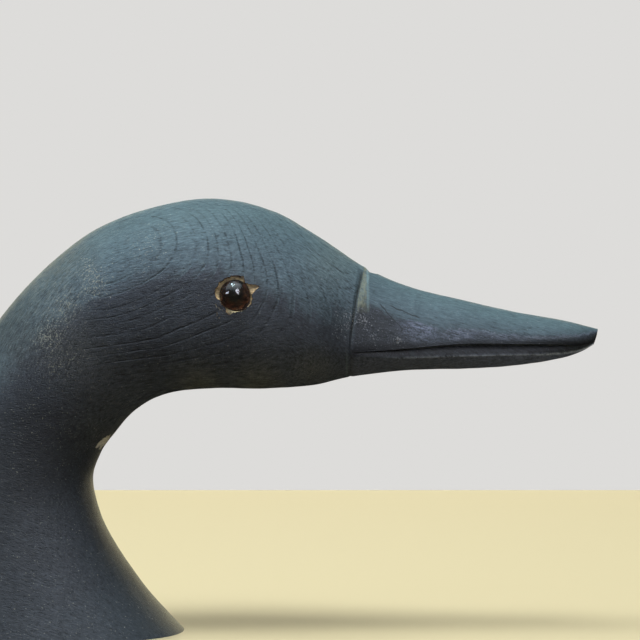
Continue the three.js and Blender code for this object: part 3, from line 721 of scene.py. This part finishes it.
    # Worn violet grey along the mouth, with a light rim, scuffs that are partly painted sheen, painted shade under the
    # upper bill and a painted highlight on the lower bill's ridge
    worn = {name: add(tree, "ShaderNodeAttribute", attribute_name=name).outputs["Fac"]
            for name in ("groove", "groove_edge_highlight", "groove_wall_shade", "under_bill", "rooted", "ridge", "worn", "shaded", "dusty", "scuffs_and_sheen")}
    inside = add(tree, "ShaderNodeMath", {0: blotch, 1: 4.0, 2: worn["worn"]}, operation="MULTIPLY_ADD")
    band = add(tree, "ShaderNodeMapRange", {0: inside, 1: 4.7, 2: 5.5, 4: 0.8}, interpolation_type="SMOOTHSTEP")
    tone = add(tree, "ShaderNodeMix", {0: band, 6: tone, 7: colour("#3e454f")}, data_type="RGBA")
    rise = add(tree, "ShaderNodeMapRange", {0: inside, 1: 4.6, 2: 5.1})
    fall = add(tree, "ShaderNodeMapRange", {0: inside, 1: 5.2, 2: 5.9, 3: 0.35, 4: 0.0})
    rim = add(tree, "ShaderNodeMath", {0: rise, 1: fall}, operation="MULTIPLY")
    clean = add(tree, "ShaderNodeMapRange", {0: worn["rooted"], 1: 0.05, 2: 0.3, 3: 1.0, 4: 0.0})
    rim = add(tree, "ShaderNodeMath", {0: rim, 1: clean}, operation="MULTIPLY")
    tone = add(tree, "ShaderNodeMix", {0: rim, 6: tone, 7: colour("#7f8899")}, data_type="RGBA")
    # Pale violet scuffs, partly worn paint and partly painted sheen
    streaks = add(tree, "ShaderNodeMath", {0: grit, 1: fibre}, operation="ADD")
    scuff_sheen = add(tree, "ShaderNodeMapRange", {0: streaks, 1: 0.86, 2: 1.12})
    scuff_sheen = add(tree, "ShaderNodeMath", {0: scuff_sheen, 1: worn["scuffs_and_sheen"]}, operation="MULTIPLY")
    scuff_sheen = add(tree, "ShaderNodeMath", {0: scuff_sheen, 1: band}, operation="MULTIPLY")
    dark = add(tree, "ShaderNodeMath", {0: blotch, 1: 1.2, 2: worn["rooted"]}, operation="MULTIPLY_ADD")
    dark = add(tree, "ShaderNodeMapRange", {0: dark, 1: 0.75, 2: 1.15, 4: 0.9})
    tone = add(tree, "ShaderNodeMix", {0: dark, 6: tone, 7: colour("#1f2125")}, data_type="RGBA")
    peppered = add(tree, "ShaderNodeMapRange", {0: salt, 1: 0.52, 2: 0.66, 4: 0.5})
    peppered = add(tree, "ShaderNodeMath", {0: peppered, 1: dark}, operation="MULTIPLY")
    clumped = add(tree, "ShaderNodeMapRange", {0: blotch, 1: 0.42, 2: 0.56, 3: 0.25, 4: 1.0})
    peppered = add(tree, "ShaderNodeMath", {0: peppered, 1: clumped}, operation="MULTIPLY")
    tone = add(tree, "ShaderNodeMix", {0: peppered, 6: tone, 7: colour("#62667a")}, data_type="RGBA")
    tone = add(tree, "ShaderNodeMix", {0: scuff_sheen, 6: tone, 7: colour("#747a91")}, data_type="RGBA")
    far = add(tree, "ShaderNodeMapRange", {0: where.outputs["X"], 1: 150.0, 2: 185.0})
    below = add(tree, "ShaderNodeMix", {0: far, 6: colour("#444959"), 7: colour("#4b5269")}, data_type="RGBA")
    tone = add(tree, "ShaderNodeMix", {0: worn["under_bill"], 6: tone, 7: below}, data_type="RGBA")
    # Painted shade under the upper bill's lip and on the mouth
    dim = add(tree, "ShaderNodeMath", {0: 1.0, 1: worn["shaded"]}, operation="SUBTRACT")
    tone = add(tree, "ShaderNodeVectorMath", {0: tone, "Scale": dim}, operation="SCALE")
    # A painted highlight along the lower bill's ridge
    ridge_highlight = add(tree, "ShaderNodeMapRange", {0: blotch, 1: 0.3, 2: 0.5, 4: 0.8})
    ridge_highlight = add(tree, "ShaderNodeMath", {0: ridge_highlight, 1: worn["ridge"]}, operation="MULTIPLY")
    tone = add(tree, "ShaderNodeMix", {0: ridge_highlight, 6: tone, 7: colour("#a2aac2")}, data_type="RGBA")

    # Growth lines, pores and fibres darken it
    line = add(tree, "ShaderNodeMath", {0: layer_edges(tree, across, 0.72), 1: shown}, operation="MULTIPLY")
    line = add(tree, "ShaderNodeMath", {0: line, 1: bold}, operation="MULTIPLY")
    shade = add(tree, "ShaderNodeMapRange", {0: fibre, 1: 0.3, 2: 0.7, 3: 0.55, 4: 1.45})
    shade = add(tree, "ShaderNodeMath", {0: line, 1: -0.6, 2: shade}, operation="MULTIPLY_ADD")
    shade = add(tree, "ShaderNodeMath", {0: pore, 1: -0.25, 2: shade}, operation="MULTIPLY_ADD")
    shade = add(tree, "ShaderNodeMath", {0: bundle, 1: 0.3, 2: shade}, operation="MULTIPLY_ADD")
    shade = add(tree, "ShaderNodeMath", {0: blotch, 1: 0.5, 2: shade}, operation="MULTIPLY_ADD")
    shade = add(tree, "ShaderNodeMath", {0: grit, 1: 0.5, 2: shade}, operation="MULTIPLY_ADD")
    shade = add(tree, "ShaderNodeMath", {0: shade, 1: 1.62}, operation="SUBTRACT")
    contrast = add(tree, "ShaderNodeMapRange", {0: facing.outputs["Z"], 1: 0.2, 2: 0.7, 3: 1.55, 4: 1.0})
    smoother = add(tree, "ShaderNodeMapRange", {0: where.outputs["X"], 1: 126.0, 2: 134.0, 3: 1.0, 4: 0.75})
    contrast = add(tree, "ShaderNodeMath", {0: contrast, 1: smoother}, operation="MULTIPLY")
    shade = add(tree, "ShaderNodeMath", {0: shade, 1: contrast, 2: 1.0}, operation="MULTIPLY_ADD")
    shade = add(tree, "ShaderNodeMath", {0: shade, 1: 0.3}, operation="MAXIMUM")
    tone = add(tree, "ShaderNodeVectorMath", {0: tone, "Scale": shade}, operation="SCALE")

    # Dust in the groove, painted highlights along its edges, painted shade on its walls, and pale specks where it is
    # rubbed
    upright = add(tree, "ShaderNodeMapping", {"Vector": place, "Scale": (1.0, 0.6, 0.16)})
    upright = add(tree, "ShaderNodeTexNoise", {"Vector": upright, "Scale": 1.9, "Detail": 3.0, "Roughness": 0.7})
    packed = add(tree, "ShaderNodeMapRange", {0: upright, 1: 0.36, 2: 0.62, 3: 0.1, 4: 0.95})
    packed = add(tree, "ShaderNodeMath", {0: packed, 1: worn["groove"]}, operation="MULTIPLY")
    edge_highlight = add(tree, "ShaderNodeMath", {0: worn["groove_edge_highlight"], 1: 0.5}, operation="MULTIPLY")
    tone = add(tree, "ShaderNodeMix", {0: edge_highlight, 6: tone, 7: colour("#7b9296")}, data_type="RGBA")
    tone = add(tree, "ShaderNodeMix", {0: packed, 6: tone, 7: colour("#7b7c68")}, data_type="RGBA")
    # Painted shade on the groove's walls
    wall = add(tree, "ShaderNodeMath", {0: worn["groove_wall_shade"], 1: 0.75}, operation="MULTIPLY")
    tone = add(tree, "ShaderNodeMix", {0: wall, 6: tone, 7: colour("#282a22")}, data_type="RGBA")
    speck = add(tree, "ShaderNodeMath", {0: salt, 1: 0.5}, operation="MULTIPLY")
    speck = add(tree, "ShaderNodeMath", {0: streaks, 1: 0.25, 2: speck}, operation="MULTIPLY_ADD")
    speck = add(tree, "ShaderNodeMath", {0: worn["dusty"], 1: 0.15, 2: speck}, operation="MULTIPLY_ADD")
    speck = add(tree, "ShaderNodeMapRange", {0: speck, 1: 0.6, 2: 0.67, 4: 0.85})
    forward = add(tree, "ShaderNodeMapRange", {0: where.outputs["X"], 1: 60.0, 2: 100.0})
    dust = add(tree, "ShaderNodeMix", {0: forward, 6: colour("#98978a"), 7: colour("#8b8b90")}, data_type="RGBA")
    tone = add(tree, "ShaderNodeMix", {0: speck, 6: tone, 7: dust}, data_type="RGBA")

    # Thin lines scratched and cracked in the right side
    for (start, end), code, strength in [(SCRATCH, "#5c6470", 0.6)] + [(crack, "#111316", 0.9) for crack in CRACKS]:
        mark = thin_line(tree, place, start, end)
        mark = add(tree, "ShaderNodeMath", {0: mark, 1: strength}, operation="MULTIPLY")
        tone = add(tree, "ShaderNodeMix", {0: mark, 6: tone, 7: colour(code)}, data_type="RGBA")
    tree.links.new(tone.outputs[2], shader.inputs["Base Color"])
    shader.inputs["Roughness"].default_value = 0.62
    shader.inputs["IOR"].default_value = 1.45

    relief = add(tree, "ShaderNodeMath", {0: line, 1: -1.2, 2: fibre}, operation="MULTIPLY_ADD")
    relief = add(tree, "ShaderNodeMath", {0: pore, 1: -0.5, 2: relief}, operation="MULTIPLY_ADD")
    relief = add(tree, "ShaderNodeMath", {0: grit, 1: 0.8, 2: relief}, operation="MULTIPLY_ADD")
    raised = add(tree, "ShaderNodeBump", {"Height": relief, "Distance": 0.16 * MM, "Strength": 1.0})
    tree.links.new(raised.outputs[0], shader.inputs["Normal"])
    return material


def torn_pine():
    """Bare pine where the paint has broken away: cream and dull, with ochre resin in its fibres."""
    material, tree, shader, place = new_material("bare_torn_pine")
    stretched = add(tree, "ShaderNodeMapping", {"Vector": place, "Scale": (0.4, 1.0, 1.0)})
    fibre = add(tree, "ShaderNodeTexNoise", {"Vector": stretched, "Scale": 1.4, "Detail": 3.0, "Roughness": 0.7})
    resin = add(tree, "ShaderNodeMapRange", {0: fibre, 1: 0.5, 2: 0.68})
    tone = add(tree, "ShaderNodeMix", {0: resin, 6: colour("#f8d8a6"), 7: colour("#7a4d1e")}, data_type="RGBA")
    tree.links.new(tone.outputs[2], shader.inputs["Base Color"])
    shader.inputs["Roughness"].default_value = 0.75
    raised = add(tree, "ShaderNodeBump", {"Height": fibre, "Distance": 0.3 * MM})
    tree.links.new(raised.outputs[0], shader.inputs["Normal"])
    return material


def drilled_pine():
    """Pine in the drilled socket, dark brown and dull; the same wood is painted as shadow round the top of the right
    socket's break and round the paint's broken wall.
    """
    material, tree, shader, place = new_material("dark_socket_pine_and_painted_shadow")
    shader.inputs["Base Color"].default_value = colour("#5a3a1e")
    shader.inputs["Roughness"].default_value = 0.7
    return material


def flaked_paint():
    """Small flakes where the top coat is gone: the chalky warm grey of an older coat, dull."""
    material, tree, shader, place = new_material("chalky_undercoat")
    chalk = add(tree, "ShaderNodeTexNoise", {"Vector": place, "Scale": 1.5, "Detail": 3.0})
    tone = add(tree, "ShaderNodeMix", {0: chalk, 6: colour("#4c4843"), 7: colour("#cfc4b4")}, data_type="RGBA")
    tree.links.new(tone.outputs[2], shader.inputs["Base Color"])
    shader.inputs["Roughness"].default_value = 0.85
    return material


def sawn_pine():
    """The sawn underside: dull bare pine with the growth layers and faint saw lines across."""
    material, tree, shader, place = new_material("sawn_pine_underside")
    edge = layer_edges(tree, across_layer(tree, place)[0], 0.4)
    tone = add(tree, "ShaderNodeMix", {0: edge, 6: colour("#b79a6e"), 7: colour("#8d6a3f")}, data_type="RGBA")
    grime = add(tree, "ShaderNodeTexNoise", {"Vector": place, "Scale": 0.06, "Detail": 5.0})
    grime = add(tree, "ShaderNodeMapRange", {0: grime, 1: 0.4, 2: 0.8, 4: 0.7})
    tone = add(tree, "ShaderNodeMix", {0: grime, 6: tone, 7: colour("#5d5142")}, data_type="RGBA")
    tree.links.new(tone.outputs[2], shader.inputs["Base Color"])
    shader.inputs["Roughness"].default_value = 0.8
    saw = add(tree, "ShaderNodeTexWave", {"Vector": place, "Scale": 0.09, "Distortion": 1.5, "Detail": 2.0,
                                          "Detail Scale": 2.0})
    raised = add(tree, "ShaderNodeBump", {"Height": saw, "Distance": 0.15 * MM})
    tree.links.new(raised.outputs[0], shader.inputs["Normal"])
    return material


def eye_glass():
    """Clear pressed glass, uneven and finely scratched, so that it looks hazy where light falls on it."""
    material, tree, shader, place = new_material("clear_eye_glass")
    wavy = add(tree, "ShaderNodeTexNoise", {"Vector": place, "Scale": 1.1, "Detail": 3.0, "Roughness": 0.6})
    raised = add(tree, "ShaderNodeBump", {"Height": wavy, "Distance": 0.09 * MM})
    tree.links.new(raised.outputs[0], shader.inputs["Normal"])
    shader.inputs["Base Color"].default_value = colour("#eaf0f0")
    shader.inputs["Roughness"].default_value = 0.13
    shader.inputs["IOR"].default_value = 1.52
    shader.inputs["Transmission Weight"].default_value = 0.99
    return material


def eye_enamel():
    """The enamel fired on the back of the glass: a black pupil in a dark red-brown iris."""
    material, tree, shader, place = new_material("brown_eye_enamel")
    from_eye = add(tree, "ShaderNodeVectorMath", {0: place, 1: EYE}, operation="SUBTRACT")
    facing = add(tree, "ShaderNodeVectorMath", {0: from_eye, 1: (1, 0, 1)}, operation="MULTIPLY")
    radius = add(tree, "ShaderNodeVectorMath", {0: facing}, operation="LENGTH")
    iris = add(tree, "ShaderNodeMapRange", {0: radius, 1: 1.5, 2: 4.4})
    mottle = add(tree, "ShaderNodeTexNoise", {"Vector": place, "Scale": 0.8, "Detail": 4.0, "Roughness": 0.7})
    mottle = add(tree, "ShaderNodeMapRange", {0: mottle, 1: 0.42, 2: 0.62})
    brown = add(tree, "ShaderNodeMix", {0: mottle, 6: colour("#120c09"), 7: colour("#56301e")}, data_type="RGBA")
    tone = add(tree, "ShaderNodeMix", {0: iris, 6: colour("#16130c"), 7: brown}, data_type="RGBA")
    tree.links.new(tone.outputs[2], shader.inputs["Base Color"])
    shader.inputs["Roughness"].default_value = 0.6
    shader.inputs["Specular IOR Level"].default_value = 0.0
    return material


PAINT = painted_pine()
TORN = torn_pine()
DRILLED = drilled_pine()
FLAKED = flaked_paint()
SAWN = sawn_pine()
GLASS = eye_glass()
ENAMEL = eye_enamel()


def broken_reach(degrees, outline, rng):
    """How far the broken edge lies from the eye in each direction, with its small splinters."""
    turns, reaches = np.array(outline, float).T
    reach = np.interp(degrees, turns, reaches, period=360)
    ragged = rng.normal(0, 1, len(degrees))
    return reach + 0.12 * (ragged + np.roll(ragged, 1) + np.roll(ragged, 2)) / math.sqrt(3)


def cutter(name, middle, outward, levels, bare, deep=None, deep_from=0, shadow_steps=None):
    """A closed ragged plug to cut away: rings of radii at heights along an outward direction.

    The cut shows bare, a material, and deep, another, inwards from the ring counted deep_from, and deep again as
    painted shadow at the steps round it that shadow_steps says, down to the third ring, and all round the second.
    """
    outward = Vector(outward).normalized()
    across = outward.cross(Vector((0, 0, 1))).normalized()
    up = across.cross(outward)
    axes = np.array([across, up, outward])
    radii = np.array([radius for _, radius in levels])
    turn = np.linspace(0, 2 * math.pi, radii.shape[1], endpoint=False)
    heights = np.array([height + 0 * turn for height, _ in levels])
    local = np.stack([radii * np.cos(turn), radii * np.sin(turn), heights], axis=2)
    rings = np.array(middle) + local @ axes
    start, end = (np.array(middle) + heights[i].mean() * axes[2] for i in (0, -1))
    mesh = closed_mesh(name, rings, [start], [end])
    mesh.materials.append(bare)
    if deep:
        mesh.materials.append(deep)
        sides, walls = radii.shape[1], len(levels) - 1
        slots = np.zeros(len(mesh.polygons), np.int32)
        slots[deep_from * sides:walls * sides] = 1
        slots[(walls + 1) * sides:] = 1
        # Painted shadow: the dark wood round the top of the right socket's break and round the paint's broken wall
        if shadow_steps is not None:
            slots[:3 * sides] = np.tile(shadow_steps, 3)
            slots[sides:2 * sides] = 1
        mesh.polygons.foreach_set("material_index", slots)
    return new_object(name, mesh)


def socket_cutter(head, name, side, outline, gap_at, seed):
    """What is missing from the cheek: a ragged break in the surface, sloping in to the drilled socket."""
    rng = np.random.default_rng(seed)
    sides = 220
    # The cutter's turn starts at the bill on the left side and at the nape on the right side
    turn = np.linspace(0, 360, sides, endpoint=False)
    degrees = turn if side > 0 else (180 - turn) % 360
    apart = (degrees - gap_at + 180) % 360 - 180
    socket = SOCKET_RADIUS + SOCKET_GAP * np.exp(-((apart / 32) ** 2))
    edge = np.maximum(broken_reach(degrees, outline, rng), socket + 0.1)

    def skin(reach):
        """How far out the head's surface lies at this reach from the eye, all round."""
        x = EYE.x + reach * np.cos(np.radians(degrees))
        z = EYE.z + reach * np.sin(np.radians(degrees))
        starts = [Vector((x[i], side * 100, z[i])) * MM for i in range(sides)]
        return np.array([abs(head.ray_cast(start, (0, -side, 0))[1].y) / MM for start in starts])

    rough = rng.normal(0, 0.07, (3, sides))
    # The arc along the top of the right socket's break, painted dark as shadow
    shadowed_arc = (side < 0) & (degrees > SHADOW_TURNS[0] + 8 * rough[0]) & (degrees < SHADOW_TURNS[1] + 8 * rough[1])
    middle = socket + (edge - socket) * np.where(shadowed_arc, 0.7, 0.45)
    levels = [
        (CHEEK + 6, edge + 0.3),
        (skin(edge) + 0.1, edge),
        (skin(edge) - 0.35 + rough[0], edge - 0.25),
        (skin(middle) - 0.7 + rough[1], middle),
        (skin(socket) - 1.0 + rough[2], socket + 0.05),
        (CHEEK - 2.2, socket),
        (SOCKET_FLOOR, socket),
    ]
    return cutter(name, (EYE.x, 0, EYE.z), (0, side, 0), levels, TORN, DRILLED, 4, shadowed_arc.astype(int))


def chip_cutter(name, head, aim, origin, size, depth, seed, bare):
    """A shallow long chip with a ragged rim, where the line from an origin to an aim meets the head."""
    length, width, tilt = size
    _, middle, normal, _ = head.ray_cast(origin * MM, aim - origin)
    rng = np.random.default_rng(seed)
    sides = 40
    wobble = rng.normal(0, 1, sides)
    wobble = sum(np.roll(wobble, k) for k in range(3)) / 3
    turn = np.linspace(0, 2 * math.pi, sides, endpoint=False) + math.radians(tilt)
    oval = 1 / np.hypot(np.cos(turn) / length, np.sin(turn) / width)
    rim = oval * (1 + 0.35 * wobble)
    levels = [(1.5, rim * 1.05), (0.05, rim), (-0.7 * depth, rim * 0.85), (-depth, rim * 0.5)]
    return cutter(name, middle / MM, normal, levels, bare)


def carved_head():
    """Head, bill and neck in one piece, with the eye sockets and the chips cut into it."""
    rings, masks = carved_rings()
    end = STATIONS[-1]
    tip = end[UPPER] + (end[LOWER] - end[UPPER]) * 0.4
    mesh = closed_mesh("carved_head", rings, [[0, 0, 0]], [[tip[0] + TIP_BULGE, 0, tip[1]]])
    for name, value in masks.items():
        layer = mesh.attributes.new(name, "FLOAT", "POINT")
        layer.data.foreach_set("value", np.append(value.ravel(), [0, 0]).astype(np.float32))
    mesh.materials.append(PAINT)
    head = new_object("carved_head", mesh)
    with_tree(head, relief_tree(), {"Grain Depth": 0.09, "Unevenness": 0.25, "Flat Below": 3.0, "Material": PAINT})
    baked(head)
    cutters = [socket_cutter(head, "socket_right", -1, BREAK_RIGHT, 310, 4),
               socket_cutter(head, "socket_left", 1, BREAK_LEFT, 215, 9)]
    for i, (x, z, *size) in enumerate(CHIPS):
        aim = Vector((x, 0, z))
        cutters.append(chip_cutter(f"chip_{i}", head, aim, aim - Vector((0, 100, 0)), size, 0.25, 20 + i, FLAKED))
    x, z, *size = THROAT_CHIP
    cutters.append(chip_cutter("throat_chip", head, Vector((x, 0, z)), CAMERA, size, 0.5, 40, FLAKED))
    for plug in cutters:
        cut = head.modifiers.new(plug.name, "BOOLEAN")
        cut.operation = "DIFFERENCE"
        cut.solver = "EXACT"
        cut.material_mode = "TRANSFER"
        cut.object = plug
    baked(head)
    for plug in cutters:
        bpy.data.objects.remove(plug)
    head.data.materials.append(SAWN)
    sawn = len(head.data.materials) - 1
    for face in head.data.polygons:
        face.use_smooth = True
        if face.normal.z < -0.99 and face.center.z < 0.01 * MM:
            face.material_index = sawn
    head.data.set_sharp_from_angle(angle=math.radians(45))
    return head


def glass_eye(name, side, tree):
    """A clear domed eye, and the enamel sealed into its flat back."""
    turn = Vector((math.radians(-90) * side, 0, 0))
    seat = CHEEK - EYE_SUNK
    glass = new_object(f"{name}_glass", bpy.data.meshes.new(name))
    with_tree(glass, tree, {"Radius": EYE_RADIUS * MM, "Dome": EYE_DOME * MM, "Thickness": GLASS_THICKNESS * MM,
                            "Middle": Vector((EYE.x, side * seat, EYE.z)) * MM, "Turn": turn, "Material": GLASS})
    back = new_object(f"{name}_enamel", bpy.data.meshes.new(name))
    level = seat - GLASS_THICKNESS + 0.15
    with_tree(back, tree, {"Radius": (EYE_RADIUS - 0.05) * MM, "Dome": 0.02 * MM, "Thickness": 0.6 * MM,
                           "Middle": Vector((EYE.x, side * level, EYE.z)) * MM, "Turn": turn,
                           "Material": ENAMEL})
    for piece in (glass, back):
        baked(piece)
        for face in piece.data.polygons:
            face.use_smooth = True
        piece.data.set_sharp_from_angle(angle=math.radians(50))
    return glass, back


head = carved_head()
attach(head, "root")
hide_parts("carved_head_and_neck")
bead = bead_tree()
for name, side in (("glass_eye_right", -1), ("glass_eye_left", 1)):
    glass, back = glass_eye(name, side, bead)
    for piece in (glass, back):
        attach(piece, "root")
    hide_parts(name)


FLOOR_EDGES = (-160, 740)


def set_camera():
    data = bpy.data.cameras.new("camera")
    data.sensor_width = SENSOR
    data.lens = DISTANCE / PIXEL * SENSOR / PICTURE
    data.clip_start = 0.01
    camera = bpy.data.objects.new("camera", data)
    camera.location = CAMERA * MM
    camera.rotation_euler = (math.radians(90), 0, 0)
    bpy.context.scene.collection.objects.link(camera)
    bpy.context.scene.camera = camera


def add_lamp(name, turn, elevation, distance, size, watts, tint):
    """A soft lamp aimed at the head: its turn to the camera's right, elevation and size in metres."""
    turn, elevation = math.radians(turn), math.radians(elevation)
    level = math.cos(elevation)
    offset = Vector((math.sin(turn) * level, -math.cos(turn) * level, math.sin(elevation)))
    data = bpy.data.lights.new(name, "AREA")
    data.shape = "RECTANGLE"
    data.size, data.size_y = size
    data.energy = watts
    data.color = colour(tint)[:3]
    lamp = bpy.data.objects.new(name, data)
    lamp.location = Vector((0.08, 0, 0.13)) + offset * distance
    lamp.rotation_euler = offset.to_track_quat("Z", "Y").to_euler()
    lamp.visible_camera = False
    bpy.context.scene.collection.objects.link(lamp)
    return lamp


def pale_floor():
    mesh = bpy.data.meshes.new("floor")
    near, far = (edge * MM for edge in FLOOR_EDGES)
    mesh.from_pydata([(-3, near, 0), (3, near, 0), (3, far, 0), (-3, far, 0)], [], [(0, 1, 2, 3)])
    material, tree, shader, place = new_material("pale_table")
    shader.inputs["Base Color"].default_value = colour("#bdae8a")
    shader.inputs["Roughness"].default_value = 0.6
    mesh.materials.append(material)
    floor = new_object("floor", mesh)
    floor.visible_glossy = False


def pale_room():
    """A pale grey room as the camera sees it, and a much dimmer one as a light."""
    world = bpy.data.worlds.new("room")
    bpy.context.scene.world = world
    world.use_nodes = True
    tree = world.node_tree
    tree.nodes.clear()
    lit = add(tree, "ShaderNodeBackground", {"Color": colour("#ccd2dc"), "Strength": 0.01})
    seen = add(tree, "ShaderNodeBackground", {"Color": colour("#dddcda"), "Strength": 1.0})
    path = tree.nodes.new("ShaderNodeLightPath")
    both = add(tree, "ShaderNodeMixShader", {0: path.outputs["Is Camera Ray"], 1: lit, 2: seen})
    add(tree, "ShaderNodeOutputWorld", {"Surface": both})


set_camera()
pale_floor()
pale_room()
add_lamp("overhead", -30, 76, 1.3, (0.95, 0.6), 27.3, "#f3fcff").visible_glossy = False
add_lamp("ceiling_seen_in_glass", -30, 72, 1.3, (2.6, 1.7), 22, "#d4f0ff").visible_diffuse = False
add_lamp("skylight_seen_in_glass", -49, 73, 1.25, (0.32, 0.2), 4.5, "#d8f4ff").visible_diffuse = False
add_lamp("left_window", -55, 18, 1.2, (0.3, 0.34), 4, "#e4ecff").visible_diffuse = False
add_lamp("right_window", 17, 27, 1.2, (0.34, 0.64), 11, "#f0f2ff").visible_diffuse = False
add_lamp("side_wall", 90, -5, 1.2, (1.6, 0.8), 4.6, "#f6fffc").visible_glossy = False
add_lamp("back_wall", 180, 8, 1.3, (2.0, 0.8), 20, "#fff3c8").visible_diffuse = False
bpy.context.scene.view_settings.view_transform = "Standard"
